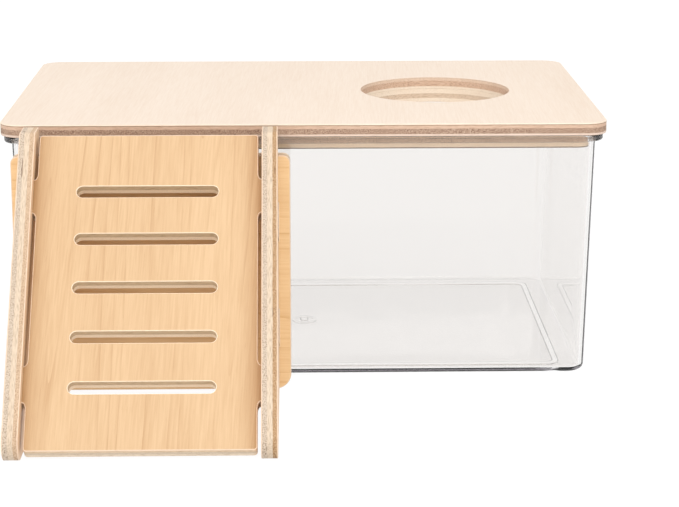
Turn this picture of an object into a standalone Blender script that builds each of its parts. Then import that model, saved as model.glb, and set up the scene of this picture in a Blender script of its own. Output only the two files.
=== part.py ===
"""Hamster cage: clear moulded tub, plywood lid with an entry hole, and a free-standing plywood ladder.

Metres, +Z up. The origin is on the floor, under the middle of the whole object.
+X is to the right seen from the ladder's side, and +Y runs from the ladder towards the tub's back.
"""
from math import cos, pi, radians, sin, tan

import bmesh
import bpy
from mathutils import Matrix, Vector

OBJECT_NAME = "hamster_cage"

# Whole object
TOTAL_DEPTH = 0.2023           # ladder's toe to the lid's back edge
TOTAL_HEIGHT = 0.083           # floor to the lid's top
GAP = 0.0003                   # between faces that touch
WELD = 0.00001                 # merges a filled outline's cap with its sides

# Lid: two boards, one on top of the tub's rim and one that drops inside it
LID_WIDTH = 0.189
LID_DEPTH = 0.126
LID_PLY = 0.004
LID_CORNER = 0.007
LID_Y = (TOTAL_DEPTH - LID_DEPTH) / 2
INNER_PLY = 0.0044
INNER_CLEARANCE = 0.0005       # inner board's edge to the tub's wall
INNER_CORNER = 0.004
HOLE_RADIUS = 0.025
HOLE_X = 0.0445

# Tub
RIM_TOP = TOTAL_HEIGHT - LID_PLY - GAP
WALL = 0.0015
MOUTH_WIDTH = 0.1828           # outside, under the rim
MOUTH_DEPTH = 0.1198
BASE_WIDTH = 0.1796            # outside, above the rounded bottom edge
BASE_DEPTH = 0.1164
MOUTH_CORNER = 0.006
BASE_CORNER = 0.005
BOTTOM_ROUND = 0.0022
FLOOR_ROUND = 0.0008
FOOT_HEIGHT = 0.0006
FOOT_OUTER = (0.1652, 0.1020)
FOOT_WIDTH = 0.0021
FOOT_CORNER = 0.004
FLANGE_OUT = 0.00225
FLANGE_HEIGHT = 0.0020
FLANGE_ROUND = 0.0005
FLANGE_CORNER = 0.0075

# Ladder
LADDER_X = -0.0472
LADDER_PLY = 0.0048
LADDER_STANDOFF = 0.0032       # lid's front edge to the ladder's back
SLOPE = radians(40)            # ramp's angle from upright
RAIL_INSIDE = 0.0683           # between the two rails
RAIL_TOE_ROUND = 0.0052
RAIL_TOP_ROUND = 0.002
RAMP_RECESS = 0.0033           # rail's front edge to the ramp's face
RAMP_TOP = 0.0816
RAMP_LIFT = 0.0006             # floor to the ramp's lower edge
RAMP_CORNER = 0.001
SHOULDER_GAP = 0.00105         # ramp's side to the rail, between the tabs
SHOULDER_ROUND = 0.002
TAB_LENGTH = 0.0113
TAB_PLACES = (0.0204, 0.0809)  # tab centres, up the slope from the ramp's lower edge
SLOT_COUNT = 5
SLOT_LENGTH = 0.0425
SLOT_HEIGHT = 0.0038
SLOT_FIRST = 0.0192
SLOT_PITCH = 0.0158
BACK_WIDTH = 0.0854
BACK_HEIGHT = 0.0748
BACK_TOP_CORNER = 0.0022
BACK_BOTTOM_CORNER = 0.005
TENON_LENGTH = 0.012
TENON_PLACES = (0.020, 0.054)  # tenon centres, above the floor

BACK_REAR = LID_Y - LID_DEPTH / 2 - LADDER_STANDOFF
BACK_FRONT = BACK_REAR - LADDER_PLY
TOE_CENTRE = (RAIL_TOE_ROUND - TOTAL_DEPTH / 2, RAIL_TOE_ROUND)
# where the rail's straight front edge would meet the floor
EDGE_FOOT = TOE_CENTRE[0] - RAIL_TOE_ROUND * (1 / cos(SLOPE) + tan(SLOPE))
RAMP_FOOT = EDGE_FOOT + RAMP_RECESS / cos(SLOPE)
# up the slope from there to the ramp's lower edge
RAMP_EDGE = LADDER_PLY * tan(SLOPE) + RAMP_LIFT / cos(SLOPE)


def arc(centre, radii, start, end, steps):
    """Points along an elliptical arc, angles in degrees, both ends included."""
    angles = [radians(start + (end - start) * i / steps) for i in range(steps + 1)]
    return [(centre[0] + radii[0] * cos(a), centre[1] + radii[1] * sin(a)) for a in angles]


def rounded_rectangle(width, height, radii, steps=6, centre=(0, 0)):
    """Corners of a rectangle rounded with (upper, lower) radii, anticlockwise from its right side."""
    points = []
    for quarter, (side_x, side_y) in enumerate(((1, 1), (-1, 1), (-1, -1), (1, -1))):
        radius = radii[0] if side_y > 0 else radii[1]
        corner = (centre[0] + side_x * (width / 2 - radius), centre[1] + side_y * (height / 2 - radius))
        points += arc(corner, (radius, radius), 90 * quarter, 90 * quarter + 90, steps)
    return points


def rectangle(width, height, centre, angle=0.0):
    """Corners of a rectangle turned by an angle in radians."""
    turn = Matrix.Rotation(angle, 2)
    corners = ((1, 1), (-1, 1), (-1, -1), (1, -1))
    return [tuple(turn @ Vector((x * width / 2, y * height / 2)) + Vector(centre)) for x, y in corners]


def clear_scene():
    for obj in list(bpy.data.objects):
        bpy.data.objects.remove(obj, do_unlink=True)


def new_collection(name):
    collection = bpy.data.collections.new(name)
    bpy.context.scene.collection.children.link(collection)
    return collection


def new_material(name, colour, roughness, alpha=1.0, transmission=0.0):
    material = bpy.data.materials.new(name)
    material.use_nodes = True
    shader = material.node_tree.nodes["Principled BSDF"]
    shader.inputs["Base Color"].default_value = (*colour, 1)
    shader.inputs["Roughness"].default_value = roughness
    shader.inputs["Metallic"].default_value = 0.0
    shader.inputs["Alpha"].default_value = alpha
    shader.inputs["Transmission Weight"].default_value = transmission
    return material


def add_part(name, mesh, material, collection, matrix):
    part = bpy.data.objects.new(name, mesh)
    part.matrix_world = matrix
    part.data.materials.clear()
    part.data.materials.append(material)
    collection.objects.link(part)
    return part


def board(name, outlines, thickness, matrix, material, collection):
    """Cut sheet: the first outline is the edge and the others are holes, drawn in the sheet's XY plane."""
    curve = bpy.data.curves.new(name, "CURVE")
    curve.dimensions = "2D"
    curve.fill_mode = "BOTH"
    curve.extrude = thickness / 2
    for outline in outlines:
        spline = curve.splines.new("POLY")
        spline.points.add(len(outline) - 1)
        for point, (x, y) in zip(spline.points, outline):
            point.co = (x, y, 0, 1)
        spline.use_cyclic_u = True
    drawing = bpy.data.objects.new(name + "_outline", curve)
    collection.objects.link(drawing)
    evaluated = drawing.evaluated_get(bpy.context.evaluated_depsgraph_get())
    mesh = bpy.data.meshes.new_from_object(evaluated)
    mesh.name = name
    bpy.data.objects.remove(drawing, do_unlink=True)
    form = bmesh.new()
    form.from_mesh(mesh)
    bmesh.ops.remove_doubles(form, verts=form.verts, dist=WELD)
    bmesh.ops.recalc_face_normals(form, faces=form.faces)
    form.to_mesh(mesh)
    form.free()
    return add_part(name, mesh, material, collection, matrix)


def tub_sections():
    """(width, depth, corner radius, height) of the tub's sections: foot, outside, rim, inside, floor."""
    foot_inner = [size - 2 * FOOT_WIDTH for size in FOOT_OUTER]
    sections = [
        (*foot_inner, FOOT_CORNER - FOOT_WIDTH / 2, FOOT_HEIGHT),
        (*foot_inner, FOOT_CORNER - FOOT_WIDTH / 2, 0.0),
        (*FOOT_OUTER, FOOT_CORNER, 0.0),
        (*FOOT_OUTER, FOOT_CORNER, FOOT_HEIGHT),
    ]
    for out, up in arc((0, 0), (BOTTOM_ROUND, BOTTOM_ROUND), 270, 360, 5):
        inset = 2 * (BOTTOM_ROUND - out)
        height = FOOT_HEIGHT + BOTTOM_ROUND + up
        sections.append((BASE_WIDTH - inset, BASE_DEPTH - inset, BASE_CORNER - inset / 4, height))
    under_flange = RIM_TOP - FLANGE_HEIGHT
    sections.append((MOUTH_WIDTH, MOUTH_DEPTH, MOUTH_CORNER, under_flange - FLANGE_ROUND))
    for height, tilt in ((under_flange, -90), (RIM_TOP, 0)):
        for out, up in arc((0, 0), (FLANGE_ROUND, FLANGE_ROUND), tilt, tilt + 90, 3):
            inset = FLANGE_ROUND - out
            spread = 2 * (FLANGE_OUT - inset)
            level = height + up + (FLANGE_ROUND if tilt else -FLANGE_ROUND)
            sections.append((MOUTH_WIDTH + spread, MOUTH_DEPTH + spread, FLANGE_CORNER - inset, level))
    sections.append((MOUTH_WIDTH - 2 * WALL, MOUTH_DEPTH - 2 * WALL, MOUTH_CORNER - WALL, RIM_TOP))
    floor = FOOT_HEIGHT + WALL
    for out, up in arc((0, 0), (FLOOR_ROUND, FLOOR_ROUND), 360, 270, 4):
        inset = 2 * (FLOOR_ROUND - out + WALL)
        corner = BASE_CORNER - WALL - (FLOOR_ROUND - out) / 2
        sections.append((BASE_WIDTH - inset, BASE_DEPTH - inset, corner, floor + FLOOR_ROUND + up))
    return sections


def make_tub(material, collection):
    """Loft through the rounded-rectangle sections, closed under the base and on the floor."""
    form = bmesh.new()
    rings = []
    for width, depth, corner, height in tub_sections():
        outline = rounded_rectangle(width, depth, (corner, corner))
        rings.append([form.verts.new((x, y, height)) for x, y in outline])
    for lower, upper in zip(rings, rings[1:]):
        for i in range(len(lower)):
            j = (i + 1) % len(lower)
            form.faces.new((lower[i], lower[j], upper[j], upper[i]))
    form.faces.new(rings[0])
    form.faces.new(rings[-1])
    bmesh.ops.recalc_face_normals(form, faces=form.faces)
    mesh = bpy.data.meshes.new("tub")
    form.to_mesh(mesh)
    form.free()
    tub = add_part("tub", mesh, material, collection, Matrix.Translation((0, LID_Y, 0)))
    tub.data.shade_smooth()
    tub.data.set_sharp_from_angle(angle=radians(35))
    return tub


def make_lid(material, inner_material, collection):
    """Top board and the smaller board under it, both with the entry hole."""
    hole = arc((HOLE_X, 0), (HOLE_RADIUS, HOLE_RADIUS), 0, 352.5, 47)
    top = rounded_rectangle(LID_WIDTH, LID_DEPTH, (LID_CORNER, LID_CORNER), 8)
    place = Matrix.Translation((0, LID_Y, TOTAL_HEIGHT - LID_PLY / 2))
    board("lid_board", [top, hole], LID_PLY, place, material, collection)
    inset = 2 * (WALL + INNER_CLEARANCE)
    inner = rounded_rectangle(MOUTH_WIDTH - inset, MOUTH_DEPTH - inset, (INNER_CORNER, INNER_CORNER))
    place = Matrix.Translation((0, LID_Y, RIM_TOP - INNER_PLY / 2))
    board("lid_inner_board", [inner, hole], INNER_PLY, place, inner_material, collection)


def ramp_outline():
    """Ramp's edge, across and up the slope, with two tabs on each side that pass through the rails."""
    length = (RAMP_TOP - RAMP_LIFT - LADDER_PLY * sin(SLOPE)) / cos(SLOPE)
    shoulder = RAIL_INSIDE / 2 - SHOULDER_GAP
    tab_end = RAIL_INSIDE / 2 + LADDER_PLY
    round_size = (SHOULDER_GAP, SHOULDER_ROUND)
    side = arc((shoulder - RAMP_CORNER, RAMP_CORNER), (RAMP_CORNER, RAMP_CORNER), -90, 0, 3)
    for place in TAB_PLACES:
        low, high = place - TAB_LENGTH / 2, place + TAB_LENGTH / 2
        side += arc((shoulder + SHOULDER_GAP, low - SHOULDER_ROUND), round_size, 180, 90, 4)
        side += [(tab_end, low), (tab_end, high)]
        side += arc((shoulder + SHOULDER_GAP, high + SHOULDER_ROUND), round_size, 270, 180, 4)
    side += arc((shoulder - RAMP_CORNER, length - RAMP_CORNER), (RAMP_CORNER, RAMP_CORNER), 0, 90, 3)
    return side + [(-x, y) for x, y in reversed(side)]


def slot_outline(place):
    """Round-ended slot across the ramp."""
    radius = SLOT_HEIGHT / 2
    reach = SLOT_LENGTH / 2 - radius
    right = arc((reach, place), (radius, radius), -90, 90, 8)
    return right + arc((-reach, place), (radius, radius), 90, 270, 8)


def make_ramp(material, collection):
    slots = [slot_outline(SLOT_FIRST + SLOT_PITCH * i) for i in range(SLOT_COUNT)]
    tilt = Matrix.Rotation(pi / 2 - SLOPE, 4, "X")
    lower_edge = Matrix.Translation((LADDER_X, RAMP_FOOT + RAMP_EDGE * sin(SLOPE), RAMP_EDGE * cos(SLOPE)))
    half_down = Matrix.Translation((0, 0, -LADDER_PLY / 2))
    place = lower_edge @ tilt @ half_down
    board("ladder_ramp", [ramp_outline(), *slots], LADDER_PLY, place, material, collection)


def rail_outline():
    """Rail's edge in its own plane: first value towards the tub, second value up."""
    front_top = EDGE_FOOT + TOTAL_HEIGHT * tan(SLOPE)
    reach = RAIL_TOP_ROUND * tan((pi / 2 - SLOPE) / 2)
    tilt = 180 * SLOPE / pi
    toe = arc(TOE_CENTRE, (RAIL_TOE_ROUND, RAIL_TOE_ROUND), 270, 180 - tilt, 8)
    crown = arc((front_top + reach, TOTAL_HEIGHT - RAIL_TOP_ROUND), (RAIL_TOP_ROUND, RAIL_TOP_ROUND),
                180 - tilt, 90, 8)
    rear = BACK_FRONT - GAP
    ledge = BACK_HEIGHT + GAP
    back = [(BACK_REAR, TOTAL_HEIGHT), (BACK_REAR, ledge), (rear, ledge)]
    for place in reversed(TENON_PLACES):
        low, high = place - TENON_LENGTH / 2, place + TENON_LENGTH / 2
        back += [(rear, high), (BACK_REAR, high), (BACK_REAR, low), (rear, low)]
    return toe + crown + back + [(rear, 0.0)]


def rail_mortises():
    """Slanted holes that the ramp's tabs pass through."""
    up = Vector((sin(SLOPE), cos(SLOPE)))
    into = Vector((cos(SLOPE), -sin(SLOPE)))
    lower_edge = Vector((RAMP_FOOT, 0)) + up * RAMP_EDGE
    holes = []
    for place in TAB_PLACES:
        centre = lower_edge + up * place + into * LADDER_PLY / 2
        holes.append(rectangle(LADDER_PLY + 2 * GAP, TAB_LENGTH + 2 * GAP, centre, -SLOPE))
    return holes


def make_rails(material, collection):
    """Left and right side boards, the same outline."""
    outlines = [rail_outline(), *rail_mortises()]
    upright = Matrix(((0, 0, 1, 0), (1, 0, 0, 0), (0, 1, 0, 0), (0, 0, 0, 1)))
    offset = (RAIL_INSIDE + LADDER_PLY) / 2
    for name, side in (("ladder_left_rail", -1), ("ladder_right_rail", 1)):
        place = Matrix.Translation((LADDER_X + side * offset, 0, 0)) @ upright
        board(name, outlines, LADDER_PLY, place, material, collection)


def make_back_board(material, collection):
    """Upright board behind the ramp, with a hole for each of the rails' tenons."""
    radii = (BACK_TOP_CORNER, BACK_BOTTOM_CORNER)
    edge = rounded_rectangle(BACK_WIDTH, BACK_HEIGHT, radii, 6, (0, BACK_HEIGHT / 2))
    offset = (RAIL_INSIDE + LADDER_PLY) / 2
    size = (LADDER_PLY + 2 * GAP, TENON_LENGTH + 2 * GAP)
    holes = [rectangle(*size, (side * offset, place)) for side in (-1, 1) for place in TENON_PLACES]
    place = Matrix.Translation((LADDER_X, BACK_REAR - LADDER_PLY / 2, 0)) @ Matrix.Rotation(pi / 2, 4, "X")
    board("ladder_back_board", [edge, *holes], LADDER_PLY, place, material, collection)


def main():
    clear_scene()
    parts = new_collection(OBJECT_NAME)
    clear_plastic = new_material("clear_plastic", (0.93, 0.94, 0.94), 0.05, 0.35, 0.9)
    lid_wood = new_material("lid_wood", (0.93, 0.80, 0.66), 0.5)
    inner_wood = new_material("lid_inner_wood", (0.84, 0.68, 0.50), 0.55)
    ramp_wood = new_material("ramp_wood", (0.90, 0.66, 0.42), 0.5)
    rail_wood = new_material("rail_wood", (0.88, 0.72, 0.54), 0.55)
    back_wood = new_material("back_board_wood", (0.84, 0.58, 0.33), 0.5)
    make_tub(clear_plastic, parts)
    make_lid(lid_wood, inner_wood, parts)
    make_ramp(ramp_wood, parts)
    make_rails(rail_wood, parts)
    make_back_board(back_wood, parts)


main()
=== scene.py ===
"""Looks of a hamster cage: clear moulded tub, plywood lid with an entry hole, free-standing plywood ladder.

Metres, +Z up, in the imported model's frame. The floor is at zero. +X is to the right seen from the
ladder's side, and +Y runs from the ladder towards the tub's back.
"""

from math import cos, degrees, pi, radians, sin, tan
from typing import NamedTuple

import bmesh
import bpy
from mathutils import Matrix, Vector
from mathutils.geometry import tessellate_polygon


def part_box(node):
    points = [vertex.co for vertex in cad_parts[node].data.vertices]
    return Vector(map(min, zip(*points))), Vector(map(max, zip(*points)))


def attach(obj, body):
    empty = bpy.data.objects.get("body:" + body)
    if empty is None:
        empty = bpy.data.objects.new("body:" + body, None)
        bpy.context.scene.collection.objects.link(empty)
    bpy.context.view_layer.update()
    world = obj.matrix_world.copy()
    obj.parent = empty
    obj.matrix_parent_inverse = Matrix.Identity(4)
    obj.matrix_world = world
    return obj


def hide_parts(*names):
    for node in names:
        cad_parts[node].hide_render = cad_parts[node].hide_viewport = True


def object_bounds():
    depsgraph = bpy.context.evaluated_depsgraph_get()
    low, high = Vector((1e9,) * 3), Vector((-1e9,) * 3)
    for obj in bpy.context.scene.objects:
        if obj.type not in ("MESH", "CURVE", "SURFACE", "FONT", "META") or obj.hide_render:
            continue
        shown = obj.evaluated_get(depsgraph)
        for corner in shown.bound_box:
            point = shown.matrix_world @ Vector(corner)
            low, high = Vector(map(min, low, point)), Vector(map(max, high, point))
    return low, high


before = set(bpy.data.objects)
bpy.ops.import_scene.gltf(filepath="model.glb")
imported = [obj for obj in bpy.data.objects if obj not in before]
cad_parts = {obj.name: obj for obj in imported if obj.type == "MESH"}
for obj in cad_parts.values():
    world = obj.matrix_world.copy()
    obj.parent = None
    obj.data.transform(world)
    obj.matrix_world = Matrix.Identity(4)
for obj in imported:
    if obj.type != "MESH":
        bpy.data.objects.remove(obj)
CAD_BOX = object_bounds()

# Boards
JOINT_GAP = 0.0001             # round a tab or tenon
ARRIS = 0.00028                # sanded edge between a face and the cut side
HOLE_ARRIS = 0.00016           # the same in a hole
ARRIS_STEPS = 3
CORNER_STEPS = 12              # facets in each corner of a board
HOLE_STEPS = 96
CORE_RELIEF = 0.00003          # how far a softer ply is worn back on a cut side
SMOOTH_ANGLE = radians(35)
SAME_POINT = 0.00001
SHARPEST_MITRE = 0.5

# Lid
LID_CORNER = 0.007
INNER_CORNER = 0.004
HOLE_RADIUS = 0.025
HOLE_X = 0.0445

# Tub
WALL = 0.0015
MOUTH = (0.1828, 0.1198)       # outside, under the rim
BASE = (0.1796, 0.1164)        # outside, above the rounded bottom edge
MOUTH_CORNER = 0.006
BASE_CORNER = 0.005
BOTTOM_ROUND = 0.0022
FLOOR_ROUND = 0.0008
FOOT_HEIGHT = 0.0006
FOOT_OUTER = (0.1652, 0.1020)
FOOT_WIDTH = 0.0021
FOOT_CORNER = 0.004
FOOT_ROUND = 0.0003
FLANGE_HEIGHT = 0.0020
FLANGE_ROUND = 0.0005
FLANGE_CORNER = 0.0075
TUB_STEPS = 12                 # facets in each corner of the tub
FOOT_STEPS = 3
BOTTOM_STEPS = 10
FLANGE_STEPS = 4
FLOOR_STEPS = 8
GATE_NUB = (0.0012, 0.0015)    # radii at its tip and its root
GATE_RING = (0.0034, 0.0042)   # inner and outer radius
GATE_DEPTH = 0.0005
GATE_Y = 0.003                 # behind the tub's middle
GATE_STEPS = 48

# Ladder
SLOPE = radians(40)            # ramp's angle from upright
RAIL_TOE_ROUND = 0.0052
RAIL_TOP_ROUND = 0.002
RAMP_RECESS = 0.0033           # rails' front edge to the ramp's face
RAMP_LIFT = 0.0006             # floor to the ramp's lower edge
RAMP_CORNER = 0.001
RAMP_CORNER_STEPS = 6
SHOULDER_GAP = 0.00105         # ramp's sides to the rails, between the tabs
SHOULDER_ROUND = 0.002
SHOULDER_STEPS = 8
TAB_LENGTH = 0.0113
TAB_PLACES = (0.0204, 0.0809)  # up the ramp
SLOT_COUNT = 5
SLOT_LENGTH = 0.0425
SLOT_HEIGHT = 0.0038
SLOT_FIRST = 0.0192
SLOT_PITCH = 0.0158
ROUND_STEPS = 16               # facets in a slot's end, a rail's toe and its crown
BACK_TOP_CORNER = 0.0022
BACK_BOTTOM_CORNER = 0.005
TENON_LENGTH = 0.012
TENON_PLACES = (0.020, 0.054)  # above the floor

# Camera and light
CAMERA_PLACE = (-0.003308, -0.647458, 0.199687)
CAMERA_DOWN = radians(14.228)
CAMERA_RIGHT = radians(1.297)
CAMERA_LENS = 108.63
SENSOR_WIDTH = 36.0
CAMERA_NEAR = 0.01
FLOOR_SIZE = 12.0
FLOOR_GLOW = 0.94
TOP_LIGHT_PLACE = (0.0, -0.35, 1.1)
TOP_LIGHT_SIZE = (1.3, 1.3)
TOP_LIGHT_POWER = 4.5
FRONT_LIGHT_PLACE = (-0.1, -1.3, 0.95)
FRONT_LIGHT_SIZE = (2.0, 0.9)
FRONT_LIGHT_POWER = 12.0


# ---------------------------------------------------------------- outlines

def arc(centre, radii, start, end, steps):
    """Points along an elliptical arc, angles in degrees, both ends included."""
    angles = [radians(start + (end - start) * i / steps) for i in range(steps + 1)]
    return [(centre[0] + radii[0] * cos(a), centre[1] + radii[1] * sin(a)) for a in angles]


def rounded_rectangle(width, height, radii, steps=CORNER_STEPS, centre=(0, 0)):
    """Corners of a rectangle rounded with (upper, lower) radii, anticlockwise from its right side."""
    points = []
    for quarter, (side_x, side_y) in enumerate(((1, 1), (-1, 1), (-1, -1), (1, -1))):
        radius = radii[0] if side_y > 0 else radii[1]
        corner = (centre[0] + side_x * (width / 2 - radius), centre[1] + side_y * (height / 2 - radius))
        points += arc(corner, (radius, radius), 90 * quarter, 90 * quarter + 90, steps)
    return points


def circle(radius, centre, steps):
    """Points round a circle, anticlockwise from its right side."""
    return arc(centre, (radius, radius), 0, 360 - 360 / steps, steps - 1)


def rectangle(width, height, centre, angle=0.0):
    """Corners of a rectangle turned by an angle in radians."""
    turn = Matrix.Rotation(angle, 2)
    corners = ((1, 1), (-1, 1), (-1, -1), (1, -1))
    return [tuple(turn @ Vector((x * width / 2, y * height / 2)) + Vector(centre)) for x, y in corners]


def anticlockwise(outline):
    """The outline without repeated points, running anticlockwise."""
    points = [Vector(p) for p in outline]
    points = [p for p, last in zip(points, points[-1:] + points[:-1]) if (p - last).length > SAME_POINT]
    area = sum(p.cross(q) for p, q in zip(points, points[1:] + points[:1]))
    return points if area > 0 else points[::-1]


def moved_in(outline, distance):
    """An anticlockwise outline moved to its left by a distance, with mitred corners."""
    moved = []
    for last, here, following in zip(outline[-1:] + outline[:-1], outline, outline[1:] + outline[:1]):
        before = (here - last).normalized()
        after = (following - here).normalized()
        normal = Vector((-before.y - after.y, before.x + after.x)).normalized()
        stretch = max(normal.dot(Vector((-before.y, before.x))), SHARPEST_MITRE)
        moved.append(here + normal * distance / stretch)
    return moved


# ---------------------------------------------------------------- meshes

def add_rings(form, outline, stations, into_material):
    """Rings of vertices along an outline at each station, a height and how far the side stands back."""
    rings = []
    for height, back in stations:
        points = moved_in(outline, into_material * back)
        rings.append([form.verts.new((p.x, p.y, height)) for p in points])
    return rings


def join_rings(form, rings, slot=0):
    """Sides between neighbouring rings of vertices, in a material slot."""
    for lower, upper in zip(rings, rings[1:]):
        for i in range(len(lower)):
            j = (i + 1) % len(lower)
            form.faces.new((lower[i], lower[j], upper[j], upper[i])).material_index = slot


def add_cap(form, loops):
    """Flat faces inside the first loop of vertices and outside the others."""
    flat = [vert for loop in loops for vert in loop]
    for face in tessellate_polygon([[v.co for v in loop] for loop in loops]):
        form.faces.new([flat[i] for i in face])


def put_in_scene(name, data, place=Matrix()):
    """Object that shows a mesh, a light or a camera at a place."""
    item = bpy.data.objects.new(name, data)
    item.matrix_world = place
    bpy.context.scene.collection.objects.link(item)
    return item


def finish_mesh(form, name, place, materials):
    """Object from a form, smooth but for its sharp corners."""
    bmesh.ops.recalc_face_normals(form, faces=form.faces)
    for face in form.faces:
        face.smooth = True
    for edge in form.edges:
        edge.smooth = edge.calc_face_angle(0) < SMOOTH_ANGLE
    mesh = bpy.data.meshes.new(name)
    form.to_mesh(mesh)
    form.free()
    for material in materials:
        mesh.materials.append(material)
    piece = put_in_scene(name, mesh, place)
    normals = piece.modifiers.new("flat_faces", "WEIGHTED_NORMAL")
    normals.keep_sharp = True
    return piece


def board_stations(thickness, plies, arris):
    """Heights through a board, with rounded arrises and the soft plies worn back a little."""
    half = thickness / 2
    turns = [radians(90 * i / ARRIS_STEPS) for i in range(ARRIS_STEPS + 1)]
    lower = [(-half + arris * (1 - sin(a)), arris * (1 - cos(a))) for a in reversed(turns)]
    upper = [(half - arris * (1 - sin(a)), arris * (1 - cos(a))) for a in turns]
    middle = []
    height = -half
    for ply in plies[:-1]:
        height += ply.share * thickness
        middle.append((height, CORE_RELIEF))
    return lower + middle + upper


def dress(piece, body, node):
    """Hangs a finished piece on a body and hides the CAD node that it stands in for."""
    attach(piece, body)
    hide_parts(node)


def make_board(name, outlines, thickness, place, wood):
    """Cut plywood sheet: the first outline is its edge and the others are holes, in its own XY plane."""
    outlines = [anticlockwise(outline) for outline in outlines]
    form = bmesh.new()
    stacks = [add_rings(form, outlines[0], board_stations(thickness, wood.plies, ARRIS), 1)]
    for outline in outlines[1:]:
        stacks.append(add_rings(form, outline, board_stations(thickness, wood.bore, HOLE_ARRIS), -1))
    for index, rings in enumerate(stacks):
        join_rings(form, rings, min(index, 1) + 1)
    add_cap(form, [rings[0] for rings in stacks])
    add_cap(form, [rings[-1] for rings in stacks])
    materials = [
        face_material(name + "_face", wood),
        edge_material(name + "_edge", wood, wood.plies, thickness),
        edge_material(name + "_bore", wood, wood.bore, thickness),
    ]
    return finish_mesh(form, name, place, materials)


# ---------------------------------------------------------------- materials

def add(tree, kind, inputs=(), **settings):
    """New shader node. Inputs are pairs of a socket's name or number, and a value or another output."""
    node = tree.nodes.new(kind)
    for setting, value in settings.items():
        setattr(node, setting, value)
    for socket, value in inputs:
        if isinstance(value, bpy.types.NodeSocket):
            tree.links.new(value, node.inputs[socket])
        else:
            node.inputs[socket].default_value = value
    return node


def mix(tree, factor, one, two, blend="MIX"):
    """Colour between two colours."""
    inputs = ((0, factor), (6, one), (7, two))
    return add(tree, "ShaderNodeMix", inputs, data_type="RGBA", blend_type=blend).outputs[2]


def calculate(tree, operation, one, two=0.0, clamp=False):
    """Result of an operation on two values."""
    node = add(tree, "ShaderNodeMath", ((0, one), (1, two)), operation=operation, use_clamp=clamp)
    return node.outputs[0]


def spread(tree, value, low, high, to_low=0.0, to_high=1.0):
    """Value taken from one range to another, and kept in it."""
    ranges = (("From Min", low), ("From Max", high), ("To Min", to_low), ("To Max", to_high))
    return add(tree, "ShaderNodeMapRange", (("Value", value), *ranges)).outputs[0]


def noise(tree, coordinates, sizes, detail=2.0, distortion=0.0):
    """Noise whose features have these sizes in metres along the three axes."""
    scale = [1 / size for size in sizes]
    mapping = add(tree, "ShaderNodeMapping", (("Vector", coordinates), ("Scale", scale)))
    inputs = (("Vector", mapping.outputs[0]), ("Scale", 1.0), ("Detail", detail), ("Distortion", distortion))
    return add(tree, "ShaderNodeTexNoise", inputs).outputs[0]


def own_coordinates(tree):
    """Place on the piece, in the piece's own axes."""
    return add(tree, "ShaderNodeTexCoord").outputs["Object"]


def separate(tree, coordinates):
    """Outputs for the three values of a place or a direction."""
    return add(tree, "ShaderNodeSeparateXYZ", (("Vector", coordinates),)).outputs


def colour(red, green, blue):
    """Opaque colour in linear light."""
    return (red, green, blue, 1.0)


def grey(value):
    """Colour that carries one value."""
    return colour(value, value, value)


def new_material(name):
    """Empty material with a Principled shader, and its tree and shader."""
    material = bpy.data.materials.new(name)
    material.use_nodes = True
    tree = material.node_tree
    return material, tree, tree.nodes["Principled BSDF"]


# ---------------------------------------------------------------- clear plastic

PLASTIC = colour(0.93, 0.918, 0.905)
PLASTIC_INDEX = 1.49
PLASTIC_SHADOW = colour(0.965, 0.97, 0.97)     # light that a shadow ray brings through
PLASTIC_BODY = colour(0.70, 0.67, 0.71)        # tint that the plastic's depth gives
PLASTIC_DENSITY = 24.0
MOST_HAZE = 0.02                               # roughness
HAZE_SIZES = (0.02, 0.02, 0.05)
WAVE_SIZES = (0.03, 0.03, 0.06)
RIM_ROUGHNESS = 0.35
RIM_BLEND = 0.001


def rim_satin(tree, own, rim_top):
    """Roughness of the rim's two ends, which are satin."""
    places = separate(tree, own)
    side = calculate(tree, "ABSOLUTE", places[0])
    side = spread(tree, side, MOUTH[0] / 2 - RIM_BLEND, MOUTH[0] / 2)
    under_flange = rim_top - FLANGE_HEIGHT
    high = spread(tree, places[2], under_flange - RIM_BLEND, under_flange)
    return calculate(tree, "MULTIPLY", calculate(tree, "MULTIPLY", side, high), RIM_ROUGHNESS)


def clear_plastic_material(rim_top):
    """Moulded clear plastic with slow waves, faint haze and a satin rim. Lamps shine through it."""
    material, tree, shader = new_material("clear_plastic")
    own = own_coordinates(tree)
    shader.inputs["Base Color"].default_value = PLASTIC
    shader.inputs["Transmission Weight"].default_value = 1.0
    shader.inputs["IOR"].default_value = PLASTIC_INDEX
    haze = spread(tree, noise(tree, own, HAZE_SIZES, 3.0), 0.45, 0.8, 0.0, MOST_HAZE)
    roughness = calculate(tree, "ADD", haze, rim_satin(tree, own, rim_top))
    tree.links.new(roughness, shader.inputs["Roughness"])
    waves = noise(tree, own, WAVE_SIZES, 1.0)
    bump = add(tree, "ShaderNodeBump", (("Height", waves), ("Strength", 0.2), ("Distance", 0.0002)))
    tree.links.new(bump.outputs[0], shader.inputs["Normal"])
    clear = add(tree, "ShaderNodeBsdfTransparent", (("Color", PLASTIC_SHADOW),))
    shadow_ray = add(tree, "ShaderNodeLightPath").outputs["Is Shadow Ray"]
    inputs = ((0, shadow_ray), (1, shader.outputs[0]), (2, clear.outputs[0]))
    surface = add(tree, "ShaderNodeMixShader", inputs)
    inputs = (("Color", PLASTIC_BODY), ("Density", PLASTIC_DENSITY))
    body = add(tree, "ShaderNodeVolumeAbsorption", inputs)
    output = tree.nodes["Material Output"]
    tree.links.new(surface.outputs[0], output.inputs["Surface"])
    tree.links.new(body.outputs[0], output.inputs["Volume"])
    return material


# ---------------------------------------------------------------- plywood

# Sizes of features across the grain and along it
TONE = (0.016, 0.11)
FIGURE = (0.018, 0.5)
RING_FADE = (0.012, 0.06)
FIBRE = (0.00045, 0.012)
PORE = (0.00028, 0.0035)
CUT_FIBRE = (0.0003, 0.0022)
CORE_SPLIT = (0.0016, 0.011)
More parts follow.
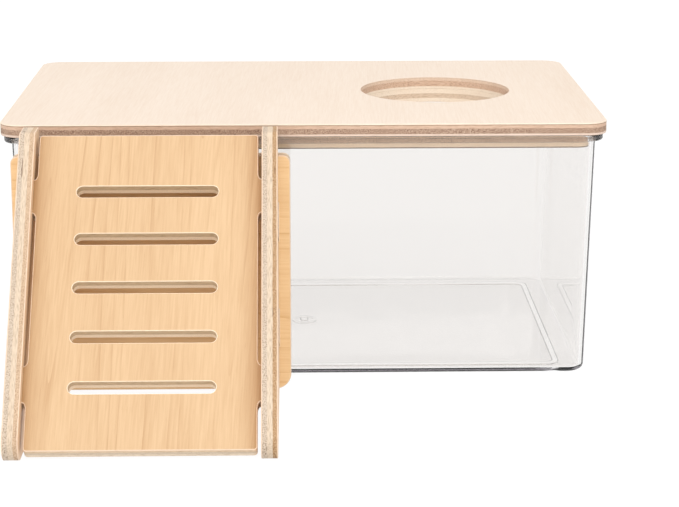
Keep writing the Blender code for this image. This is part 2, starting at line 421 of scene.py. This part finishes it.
# Sizes on a cut side, across, along and through the board
WANDER = (0.006, 0.006, 0.006)
PATCH = (0.009, 0.009, 0.0015)

RING_COUNT = 13.0
RING_SHARPNESS = 8.0
PORE_SHADE = 0.22
PORE_DEPTH = 0.8               # against a fibre's height
PLY_WANDER = 0.018             # how far a ply's border strays, as a share of the board
PALE_SHARE = 0.38
PATCH_SHARE = 0.35


class Ply(NamedTuple):
    """Layer of a board."""

    share: float               # of the board's thickness
    tint: tuple
    crossed: bool              # its grain runs across the faces' grain
    mottle: float              # contrast of its fibres


class Wood(NamedTuple):
    """A board's look."""

    light: tuple               # the faces' tones
    dark: tuple
    axis: int                  # the faces' grain: along the board's own X or Y
    slant: float               # angle of the grain to that axis
    cut: tuple                 # the board's place in the log
    plies: list                # layers on its edge, from below
    bore: list                 # layers in its holes, from below
    ring_strength: float = 0.5
    roughness: float = 0.5
    rail_shade_band: tuple = ()       # where the painted shade from the rails begins and ends, from the board's middle


def with_grain(tree, where, axis, sizes, detail=2.0, distortion=0.0):
    """Noise drawn out along an axis, from its size across and its size along."""
    across, along = sizes
    by_axis = [across] * 3
    by_axis[axis] = along
    return noise(tree, where, by_axis, detail, distortion)


def wood_coordinates(tree, wood):
    """Piece's own coordinates, turned to its slant and shifted so that no two boards show the same grain."""
    inputs = (("Vector", own_coordinates(tree)), ("Location", wood.cut), ("Rotation", (0, 0, wood.slant)))
    return add(tree, "ShaderNodeMapping", inputs).outputs[0]


def growth_lines(tree, where, axis):
    """Thin lines between the years' growth, which fade in and out."""
    figure = with_grain(tree, where, axis, FIGURE, 1.0, 0.15)
    ring = calculate(tree, "FRACT", calculate(tree, "MULTIPLY", figure, RING_COUNT))
    ring = calculate(tree, "POWER", ring, RING_SHARPNESS)
    fade = spread(tree, with_grain(tree, where, axis, RING_FADE, 1.0), 0.35, 0.65, 0.15, 1.0)
    return calculate(tree, "MULTIPLY", ring, fade)


def paint_rail_shade(tree, tint, rail_shade_band):
    """Painted shade: tint darkened towards the board's long sides, where the rails standing above the ramp
    shade it.
    """
    side = calculate(tree, "ABSOLUTE", separate(tree, own_coordinates(tree))[0])
    depth = calculate(tree, "POWER", spread(tree, side, *rail_shade_band), 2.0)
    return mix(tree, depth, tint, RAIL_SHADE, "MULTIPLY")


def face_material(name, wood):
    """Sanded veneer: broad tones, growth lines, fibres and short pores, all drawn out along the grain."""
    material, tree, shader = new_material(name)
    where = wood_coordinates(tree, wood)
    ring = growth_lines(tree, where, wood.axis)
    fibre = with_grain(tree, where, wood.axis, FIBRE, 3.0)
    pore = spread(tree, with_grain(tree, where, wood.axis, PORE, 1.0), 0.66, 0.76)
    shade = spread(tree, with_grain(tree, where, wood.axis, TONE), 0.25, 0.75, 0.0, 0.5)
    shade = calculate(tree, "ADD", shade, calculate(tree, "MULTIPLY", ring, wood.ring_strength))
    shade = calculate(tree, "ADD", shade, spread(tree, fibre, 0.3, 0.7, -0.2, 0.25))
    shade = calculate(tree, "ADD", shade, calculate(tree, "MULTIPLY", pore, PORE_SHADE), clamp=True)
    tint = mix(tree, shade, wood.light, wood.dark)
    if wood.rail_shade_band:
        tint = paint_rail_shade(tree, tint, wood.rail_shade_band)
    tree.links.new(tint, shader.inputs["Base Color"])
    roughness = spread(tree, fibre, 0.2, 0.8, wood.roughness - 0.06, wood.roughness + 0.08)
    tree.links.new(roughness, shader.inputs["Roughness"])
    height = calculate(tree, "SUBTRACT", fibre, calculate(tree, "MULTIPLY", pore, PORE_DEPTH))
    bump = add(tree, "ShaderNodeBump", (("Height", height), ("Strength", 0.25), ("Distance", 0.00008)))
    tree.links.new(bump.outputs[0], shader.inputs["Normal"])
    return material


def ply_level(tree, where, thickness):
    """Height through a board as a share of its thickness, a little uneven."""
    height = separate(tree, own_coordinates(tree))[2]
    wander = spread(tree, noise(tree, where, WANDER, 1.0), 0.0, 1.0, -PLY_WANDER, PLY_WANDER)
    level = spread(tree, height, -thickness / 2, thickness / 2)
    return calculate(tree, "ADD", level, wander, clamp=True)


def ply_ramp(tree, level, plies, value):
    """Steps through a board's thickness, one for each ply."""
    ramp = add(tree, "ShaderNodeValToRGB", (("Fac", level),))
    ramp.color_ramp.interpolation = "CONSTANT"
    stops = ramp.color_ramp.elements
    place = 0.0
    for index, ply in enumerate(plies):
        stop = stops[index] if index < 2 else stops.new(place)
        stop.position = place
        stop.color = value(ply)
        place += ply.share
    return ramp.outputs[0]


def core_gaps(tree, where, axis, crossed, mottle):
    """Splits in the rough crossed plies."""
    gap = spread(tree, with_grain(tree, where, axis, CORE_SPLIT, 1.0), 0.70, 0.74)
    core = calculate(tree, "MULTIPLY", crossed, spread(tree, mottle, 0.6, 0.9))
    return calculate(tree, "MULTIPLY", gap, core)


def edge_material(name, wood, plies, thickness):
    """Cut side: plies in layers, with dots where a ply's fibres end and streaks where they run along."""
    material, tree, shader = new_material(name)
    where = wood_coordinates(tree, wood)
    level = ply_level(tree, where, thickness)
    tint = ply_ramp(tree, level, plies, lambda ply: ply.tint)
    crossed = ply_ramp(tree, level, plies, lambda ply: grey(float(ply.crossed)))
    mottle = ply_ramp(tree, level, plies, lambda ply: grey(ply.mottle))
    straight_fibre = with_grain(tree, where, wood.axis, CUT_FIBRE)
    crossed_fibre = with_grain(tree, where, 1 - wood.axis, CUT_FIBRE)
    grain = mix(tree, crossed, straight_fibre, crossed_fibre)
    dark = calculate(tree, "MULTIPLY", spread(tree, grain, 0.48, 0.66), mottle)
    pale = calculate(tree, "MULTIPLY", spread(tree, grain, 0.46, 0.28), mottle)
    pale = calculate(tree, "MULTIPLY", pale, PALE_SHARE)
    patch = spread(tree, noise(tree, where, PATCH), 0.3, 0.7, 0.0, PATCH_SHARE)
    tint = mix(tree, dark, tint, DOT_SHADE, "MULTIPLY")
    tint = mix(tree, pale, tint, PALE_FIBRE)
    tint = mix(tree, patch, tint, PATCH_SHADE, "MULTIPLY")
    tint = mix(tree, core_gaps(tree, where, wood.axis, crossed, mottle), tint, CORE_GAP, "MULTIPLY")
    tree.links.new(tint, shader.inputs["Base Color"])
    tree.links.new(spread(tree, grain, 0.2, 0.8, 0.58, 0.78), shader.inputs["Roughness"])
    bump = add(tree, "ShaderNodeBump", (("Height", grain), ("Strength", 0.35), ("Distance", 0.00012)))
    tree.links.new(bump.outputs[0], shader.inputs["Normal"])
    return material


DOT_SHADE = colour(0.50, 0.44, 0.40)
PALE_FIBRE = colour(0.80, 0.68, 0.54)
PATCH_SHADE = colour(0.88, 0.82, 0.76)
CORE_GAP = colour(0.45, 0.38, 0.33)
# painted shade that the rails cast on the ramp's sides
RAIL_SHADE = colour(0.68, 0.57, 0.43)

SKIN = colour(0.80, 0.66, 0.53)
GLUE = colour(0.28, 0.18, 0.115)
VENEER = colour(0.61, 0.42, 0.305)
CORE = colour(0.40, 0.262, 0.182)
LOWER_VENEER = colour(0.70, 0.55, 0.455)
# Painted light: the under board's plies are far paler than the lid's own plies. This stands in for the light
# that reaches them through the plastic.
INNER_VENEER_LIT = colour(0.98, 0.77, 0.56)
INNER_CORE_LIT = colour(0.97, 0.71, 0.52)
INNER_GLUE = colour(0.32, 0.225, 0.155)
INNER_UPPER_LIT = colour(0.97, 0.73, 0.56)
PEACH = colour(0.76, 0.58, 0.43)
DOTTED = colour(0.545, 0.44, 0.34)
CREAM = colour(0.63, 0.505, 0.375)
TAN = colour(0.43, 0.26, 0.125)
PALE_TAN = colour(0.55, 0.385, 0.25)
EDGE_PALE = colour(0.78, 0.64, 0.48)
EDGE_BROWN = colour(0.72, 0.53, 0.34)
BORE_PALE = colour(0.85, 0.71, 0.56)
BORE_SKIN = colour(0.74, 0.55, 0.41)
BORE_GLUE = colour(0.64, 0.48, 0.36)
BORE_BROWN = colour(0.64, 0.43, 0.30)
BORE_GREY = colour(0.68, 0.52, 0.38)
SLOT_BROWN = colour(0.66, 0.51, 0.33)
SLOT_PEACH = colour(0.97, 0.82, 0.63)

LID_PLIES = [
    Ply(0.18, LOWER_VENEER, True, 0.2),
    Ply(0.42, CORE, False, 1.0),
    Ply(0.25, VENEER, True, 0.3),
    Ply(0.05, GLUE, True, 0.2),
    Ply(0.10, SKIN, True, 0.1),
]
LID_BORE = [
    Ply(0.22, BORE_PALE, False, 0.2),
    Ply(0.50, BORE_BROWN, True, 0.5),
    Ply(0.20, BORE_SKIN, False, 0.3),
    Ply(0.08, BORE_GLUE, False, 0.2),
]
INNER_PLIES = [
    Ply(0.08, INNER_GLUE, False, 0.2),
    Ply(0.32, INNER_VENEER_LIT, False, 0.15),
    Ply(0.28, INNER_CORE_LIT, False, 0.7),
    Ply(0.04, INNER_GLUE, False, 0.3),
    Ply(0.28, INNER_UPPER_LIT, False, 0.6),
]
INNER_BORE = [
    Ply(0.30, BORE_PALE, False, 0.2),
    Ply(0.36, BORE_GREY, True, 0.4),
    Ply(0.34, BORE_PALE, False, 0.2),
]
LADDER_PLIES = [
    Ply(0.07, PEACH, False, 0.2),
    Ply(0.28, DOTTED, True, 1.0),
    Ply(0.33, CREAM, False, 0.5),
    Ply(0.25, TAN, True, 0.9),
    Ply(0.07, PEACH, False, 0.1),
]
LEFT_RAIL_PLIES = LADDER_PLIES[:3] + [Ply(0.25, PALE_TAN, True, 0.7), LADDER_PLIES[4]]
PALE_PLIES = [
    Ply(0.07, PEACH, False, 0.2),
    Ply(0.28, EDGE_PALE, True, 0.6),
    Ply(0.33, CREAM, False, 0.4),
    Ply(0.25, EDGE_BROWN, True, 0.6),
    Ply(0.07, PEACH, False, 0.1),
]
SLOT_PLIES = [
    Ply(0.42, SLOT_PEACH, False, 0.2),
    Ply(0.50, SLOT_BROWN, True, 0.4),
    Ply(0.08, SLOT_PEACH, False, 0.2),
]

LID_WOOD = Wood(
    light=colour(0.71, 0.59, 0.48), dark=colour(0.66, 0.525, 0.41), axis=1, slant=radians(2),
    cut=(0.31, 0.17, 0.05), plies=LID_PLIES, bore=LID_BORE, ring_strength=0.30, roughness=0.42)
INNER_WOOD = Wood(
    light=colour(0.72, 0.57, 0.42), dark=colour(0.64, 0.48, 0.33), axis=1, slant=0.0,
    cut=(0.57, 0.41, 0.09), plies=INNER_PLIES, bore=INNER_BORE)
# The ramp's sides carry painted shade from the rails.
RAMP_WOOD = Wood(
    light=colour(0.61, 0.408, 0.225), dark=colour(0.48, 0.286, 0.136), axis=1, slant=radians(3),
    cut=(0.83, 0.29, 0.13), plies=PALE_PLIES, bore=SLOT_PLIES, ring_strength=0.9,
    rail_shade_band=(0.0255, 0.0335))
RAIL_WOOD = Wood(
    light=colour(0.84, 0.61, 0.41), dark=colour(0.74, 0.51, 0.31), axis=1, slant=SLOPE,
    cut=(0.13, 0.53, 0.21), plies=LADDER_PLIES, bore=SLOT_PLIES)
LEFT_RAIL_WOOD = RAIL_WOOD._replace(cut=(0.43, 0.71, 0.33), plies=LEFT_RAIL_PLIES)
BACK_WOOD = Wood(
    light=colour(0.83, 0.58, 0.315), dark=colour(0.685, 0.425, 0.195), axis=0, slant=radians(1),
    cut=(0.67, 0.11, 0.27), plies=PALE_PLIES, bore=SLOT_PLIES, ring_strength=1.0)


# ---------------------------------------------------------------- tub

def with_size(size, change):
    """Size of a rectangle whose sides all move out by a change."""
    return [side + 2 * change for side in size]


def tub_sections(low, high):
    """(width, depth, corner radius, height) of the tub's sections: foot, outside, rim, inside, floor."""
    foot_inner = with_size(FOOT_OUTER, -FOOT_WIDTH)
    foot_inner_corner = FOOT_CORNER - FOOT_WIDTH / 2
    flange_out = ((high.x - low.x) - MOUTH[0]) / 2
    rim_top = high.z
    sections = [(*foot_inner, foot_inner_corner, FOOT_HEIGHT)]
    for out, up in arc((0, 0), (FOOT_ROUND, FOOT_ROUND), 180, 270, FOOT_STEPS):
        size = with_size(foot_inner, FOOT_ROUND + out)
        sections.append((*size, foot_inner_corner, FOOT_ROUND + up))
    for out, up in arc((0, 0), (FOOT_ROUND, FOOT_ROUND), 270, 360, FOOT_STEPS):
        size = with_size(FOOT_OUTER, out - FOOT_ROUND)
        sections.append((*size, FOOT_CORNER, FOOT_ROUND + up))
    sections.append((*FOOT_OUTER, FOOT_CORNER, FOOT_HEIGHT))
    for out, up in arc((0, 0), (BOTTOM_ROUND, BOTTOM_ROUND), 270, 360, BOTTOM_STEPS):
        inset = BOTTOM_ROUND - out
        size = with_size(BASE, -inset)
        sections.append((*size, BASE_CORNER - inset / 2, FOOT_HEIGHT + BOTTOM_ROUND + up))
    under_flange = rim_top - FLANGE_HEIGHT
    sections.append((*MOUTH, MOUTH_CORNER, under_flange - FLANGE_ROUND))
    for centre, start in ((under_flange + FLANGE_ROUND, -90), (rim_top - FLANGE_ROUND, 0)):
        for out, up in arc((0, 0), (FLANGE_ROUND, FLANGE_ROUND), start, start + 90, FLANGE_STEPS):
            inset = FLANGE_ROUND - out
            size = with_size(MOUTH, flange_out - inset)
            sections.append((*size, FLANGE_CORNER - inset, centre + up))
    sections.append((*with_size(MOUTH, -WALL), MOUTH_CORNER - WALL, rim_top))
    floor = FOOT_HEIGHT + WALL
    for out, up in arc((0, 0), (FLOOR_ROUND, FLOOR_ROUND), 360, 270, FLOOR_STEPS):
        inset = FLOOR_ROUND - out + WALL
        corner = BASE_CORNER - WALL - (FLOOR_ROUND - out) / 3
        sections.append((*with_size(BASE, -inset), corner, floor + FLOOR_ROUND + up))
    return sections


def gate_rings(form):
    """The moulding gate's mark under the floor: a nub in a low ring, from the middle outwards."""
    tip, root = GATE_NUB
    inner, outer = GATE_RING
    lower = FOOT_HEIGHT - GATE_DEPTH
    stations = [(tip, lower), (root, FOOT_HEIGHT)]
    stations += [(inner, FOOT_HEIGHT), (inner, lower), (outer, lower), (outer, FOOT_HEIGHT)]
    rings = []
    for radius, height in stations:
        points = circle(radius, (0, GATE_Y), GATE_STEPS)
        rings.append([form.verts.new((x, y, height)) for x, y in points])
    return rings


def make_tub():
    """Loft through the rounded-rectangle sections, closed under the base and on the floor."""
    low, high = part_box("tub")
    form = bmesh.new()
    rings = []
    for width, depth, corner, height in tub_sections(low, high):
        outline = rounded_rectangle(width, depth, (corner, corner), TUB_STEPS)
        rings.append([form.verts.new((x, y, height)) for x, y in outline])
    join_rings(form, rings)
    add_cap(form, [rings[-1]])
    gate = gate_rings(form)
    join_rings(form, gate)
    add_cap(form, [gate[0]])
    add_cap(form, [rings[0], gate[-1]])
    middle = (low + high) / 2
    place = Matrix.Translation((middle.x, middle.y, low.z))
    tub = finish_mesh(form, "clear_tub", place, [clear_plastic_material(high.z - low.z)])
    dress(tub, "tub", "tub")


# ---------------------------------------------------------------- lid

def make_lid():
    """Top board and the smaller board glued up against it, both with the entry hole."""
    low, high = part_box("lid_board")
    inner_low, inner_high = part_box("lid_inner_board")
    middle = (low + high) / 2
    hole = circle(HOLE_RADIUS, (HOLE_X, 0), HOLE_STEPS)
    edge = rounded_rectangle(high.x - low.x, high.y - low.y, (LID_CORNER, LID_CORNER))
    board = make_board("lid_top_board", [edge, hole], high.z - low.z, Matrix.Translation(middle), LID_WOOD)
    dress(board, "lid", "lid_board")
    size = (inner_high.x - inner_low.x, inner_high.y - inner_low.y)
    edge = rounded_rectangle(*size, (INNER_CORNER, INNER_CORNER))
    top = low.z
    place = Matrix.Translation((middle.x, middle.y, (inner_low.z + top) / 2))
    board = make_board("lid_under_board", [edge, hole], top - inner_low.z, place, INNER_WOOD)
    dress(board, "lid", "lid_inner_board")


# ---------------------------------------------------------------- ladder

def ramp_outline(length, inside, thickness):
    """Ramp's edge, across and up the slope, with two tabs on each side that pass through the rails."""
    shoulder = inside / 2 - SHOULDER_GAP
    tab_end = inside / 2 + thickness
    round_size = (SHOULDER_GAP, SHOULDER_ROUND)
    corner_x = shoulder - RAMP_CORNER
    corner_size = (RAMP_CORNER, RAMP_CORNER)
    side = arc((corner_x, RAMP_CORNER), corner_size, -90, 0, RAMP_CORNER_STEPS)
    for place in TAB_PLACES:
        low, high = place - TAB_LENGTH / 2, place + TAB_LENGTH / 2
        side += arc((inside / 2, low - SHOULDER_ROUND), round_size, 180, 90, SHOULDER_STEPS)
        side += [(tab_end, low), (tab_end, high)]
        side += arc((inside / 2, high + SHOULDER_ROUND), round_size, 270, 180, SHOULDER_STEPS)
    side += arc((corner_x, length - RAMP_CORNER), corner_size, 0, 90, RAMP_CORNER_STEPS)
    return side + [(-x, y) for x, y in reversed(side)]


def slot_outline(place):
    """Round-ended slot across the ramp."""
    radius = SLOT_HEIGHT / 2
    reach = SLOT_LENGTH / 2 - radius
    right = arc((reach, place), (radius, radius), -90, 90, ROUND_STEPS)
    return right + arc((-reach, place), (radius, radius), 90, 270, ROUND_STEPS)


def ladder_sizes():
    """Board thickness, space between the rails, and where the rails' front edge would meet the floor."""
    left_low, left_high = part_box("ladder_left_rail")
    right_low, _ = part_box("ladder_right_rail")
    thickness = left_high.x - left_low.x
    foot = left_low.y + RAIL_TOE_ROUND - RAIL_TOE_ROUND * (1 / cos(SLOPE) + tan(SLOPE))
    return thickness, right_low.x - left_high.x, foot


def make_ramp():
    """Sloping walking board with its slots. Its front edge is placed, then it is turned to the slope."""
    thickness, inside, _ = ladder_sizes()
    low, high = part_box("ladder_ramp")
    length = (high.z - low.z - thickness * sin(SLOPE)) / cos(SLOPE)
    slots = [slot_outline(SLOT_FIRST + SLOT_PITCH * i) for i in range(SLOT_COUNT)]
    front_edge = Matrix.Translation(((low.x + high.x) / 2, low.y, low.z + thickness * sin(SLOPE)))
    place = front_edge @ Matrix.Rotation(pi / 2 - SLOPE, 4, "X") @ Matrix.Translation((0, 0, -thickness / 2))
    outlines = [ramp_outline(length, inside, thickness), *slots]
    board = make_board("ladder_step_ramp", outlines, thickness, place, RAMP_WOOD)
    dress(board, "ladder", "ladder_ramp")


def rail_outline(low, high, thickness, foot, ledge):
    """Rail's edge in its own plane: first value towards the tub, second value up."""
    front_top = foot + high.z * tan(SLOPE)
    reach = RAIL_TOP_ROUND * tan((pi / 2 - SLOPE) / 2)
    tilt = degrees(SLOPE)
    toe_centre = (low.y + RAIL_TOE_ROUND, RAIL_TOE_ROUND)
    toe = arc(toe_centre, (RAIL_TOE_ROUND, RAIL_TOE_ROUND), 270, 180 - tilt, ROUND_STEPS)
    crown_centre = (front_top + reach, high.z - RAIL_TOP_ROUND)
    crown = arc(crown_centre, (RAIL_TOP_ROUND, RAIL_TOP_ROUND), 180 - tilt, 90, ROUND_STEPS)
    rear = high.y - thickness - JOINT_GAP
    back = [(high.y, high.z), (high.y, ledge), (rear, ledge)]
    for place in reversed(TENON_PLACES):
        lower, upper = place - TENON_LENGTH / 2, place + TENON_LENGTH / 2
        back += [(rear, upper), (high.y, upper), (high.y, lower), (rear, lower)]
    return toe + crown + back + [(rear, 0.0)]


def rail_mortises(foot, thickness):
    """Slanted holes that the ramp's tabs pass through."""
    up = Vector((sin(SLOPE), cos(SLOPE)))
    into = Vector((cos(SLOPE), -sin(SLOPE)))
    ramp_edge = thickness * tan(SLOPE) + RAMP_LIFT / cos(SLOPE)
    lower_edge = Vector((foot + RAMP_RECESS / cos(SLOPE), 0)) + up * ramp_edge
    size = (thickness + 2 * JOINT_GAP, TAB_LENGTH + 2 * JOINT_GAP)
    return [rectangle(*size, lower_edge + up * place + into * thickness / 2, -SLOPE) for place in TAB_PLACES]


def make_rails():
    """Left and right side boards, the same outline cut from different places in the sheet."""
    thickness, _, foot = ladder_sizes()
    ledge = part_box("ladder_back_board")[1].z + JOINT_GAP
    upright = Matrix(((0, 0, 1, 0), (1, 0, 0, 0), (0, 1, 0, 0), (0, 0, 0, 1)))
    for side, wood in (("left", LEFT_RAIL_WOOD), ("right", RAIL_WOOD)):
        node = "ladder_" + side + "_rail"
        low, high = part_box(node)
        outlines = [rail_outline(low, high, thickness, foot, ledge), *rail_mortises(foot, thickness)]
        place = Matrix.Translation(((low.x + high.x) / 2, 0, 0)) @ upright
        board = make_board("ladder_" + side + "_side", outlines, thickness, place, wood)
        dress(board, "ladder", node)


def make_back_board():
    """Upright board behind the ramp, with a hole for each of the rails' tenons."""
    thickness, inside, _ = ladder_sizes()
    low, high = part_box("ladder_back_board")
    height = high.z - low.z
    radii = (BACK_TOP_CORNER, BACK_BOTTOM_CORNER)
    edge = rounded_rectangle(high.x - low.x, height, radii, centre=(0, height / 2))
    offset = (inside + thickness) / 2
    size = (thickness + 2 * JOINT_GAP, TENON_LENGTH + 2 * JOINT_GAP)
    holes = [rectangle(*size, (side * offset, place)) for side in (-1, 1) for place in TENON_PLACES]
    place = Matrix.Translation(((low.x + high.x) / 2, (low.y + high.y) / 2, low.z))
    place = place @ Matrix.Rotation(pi / 2, 4, "X")
    board = make_board("ladder_stand_board", [edge, *holes], thickness, place, BACK_WOOD)
    dress(board, "ladder", "ladder_back_board")


# ---------------------------------------------------------------- studio

FLOOR_TONES = (grey(0.09), grey(0.10))
FLOOR_PATCH = (0.5, 0.5, 0.5)
SKY = (grey(0.9), grey(1.0))   # low down and overhead
BACKDROP = grey(1.05)
FLAG = colour(0.8, 0.79, 0.81)


def make_floor():
    """Wide plain floor that glows, very slightly uneven in tone."""
    form = bmesh.new()
    bmesh.ops.create_grid(form, x_segments=8, y_segments=8, size=FLOOR_SIZE / 2)
    mesh = bpy.data.meshes.new("studio_floor")
    form.to_mesh(mesh)
    form.free()
    material, tree, shader = new_material("studio_floor")
    tone = spread(tree, noise(tree, own_coordinates(tree), FLOOR_PATCH), 0.3, 0.7)
    tree.links.new(mix(tree, tone, *FLOOR_TONES), shader.inputs["Base Color"])
    shader.inputs["Roughness"].default_value = 0.9
    shader.inputs["Specular IOR Level"].default_value = 0.0
    shader.inputs["Emission Color"].default_value = grey(1.0)
    shader.inputs["Emission Strength"].default_value = FLOOR_GLOW
    mesh.materials.append(material)
    put_in_scene("studio_floor", mesh)


def add_softbox(name, place, size, power):
    """Large rectangular light that looks at the middle of the object."""
    light = bpy.data.lights.new(name, "AREA")
    light.shape = "RECTANGLE"
    light.size, light.size_y = size
    light.energy = power
    middle = (Vector(CAD_BOX[0]) + Vector(CAD_BOX[1])) / 2
    aim = (middle - Vector(place)).to_track_quat("-Z", "Y").to_matrix().to_4x4()
    put_in_scene(name, light, Matrix.Translation(place) @ aim)


def make_world():
    """White surroundings, a little brighter overhead, with a grey flag on each side low down."""
    world = bpy.data.worlds.new("studio")
    bpy.context.scene.world = world
    world.use_nodes = True
    tree = world.node_tree
    direction = separate(tree, add(tree, "ShaderNodeTexCoord").outputs["Generated"])
    height = direction[2]
    glow = mix(tree, spread(tree, height, -0.05, 0.9), *SKY)
    side = calculate(tree, "ABSOLUTE", direction[0])
    flag = calculate(tree, "MULTIPLY", spread(tree, side, 0.72, 0.86), spread(tree, height, 0.5, 0.3))
    glow = mix(tree, flag, glow, FLAG)
    camera_ray = add(tree, "ShaderNodeLightPath").outputs["Is Camera Ray"]
    glow = mix(tree, camera_ray, glow, BACKDROP)
    tree.links.new(glow, tree.nodes["Background"].inputs["Color"])


def make_camera():
    """Camera solved from the corners of the lid in the photograph."""
    data = bpy.data.cameras.new("camera")
    data.lens = CAMERA_LENS
    data.sensor_width = SENSOR_WIDTH
    data.sensor_fit = "HORIZONTAL"
    data.clip_start = CAMERA_NEAR
    camera = put_in_scene("camera", data)
    camera.location = CAMERA_PLACE
    camera.rotation_euler = (pi / 2 - CAMERA_DOWN, 0, -CAMERA_RIGHT)
    bpy.context.scene.camera = camera
    bpy.context.scene.view_settings.view_transform = "Standard"


make_camera()
make_floor()
make_world()
add_softbox("softbox_top", TOP_LIGHT_PLACE, TOP_LIGHT_SIZE, TOP_LIGHT_POWER)
add_softbox("softbox_front", FRONT_LIGHT_PLACE, FRONT_LIGHT_SIZE, FRONT_LIGHT_POWER)
make_tub()
make_lid()
make_ramp()
make_rails()
make_back_board()
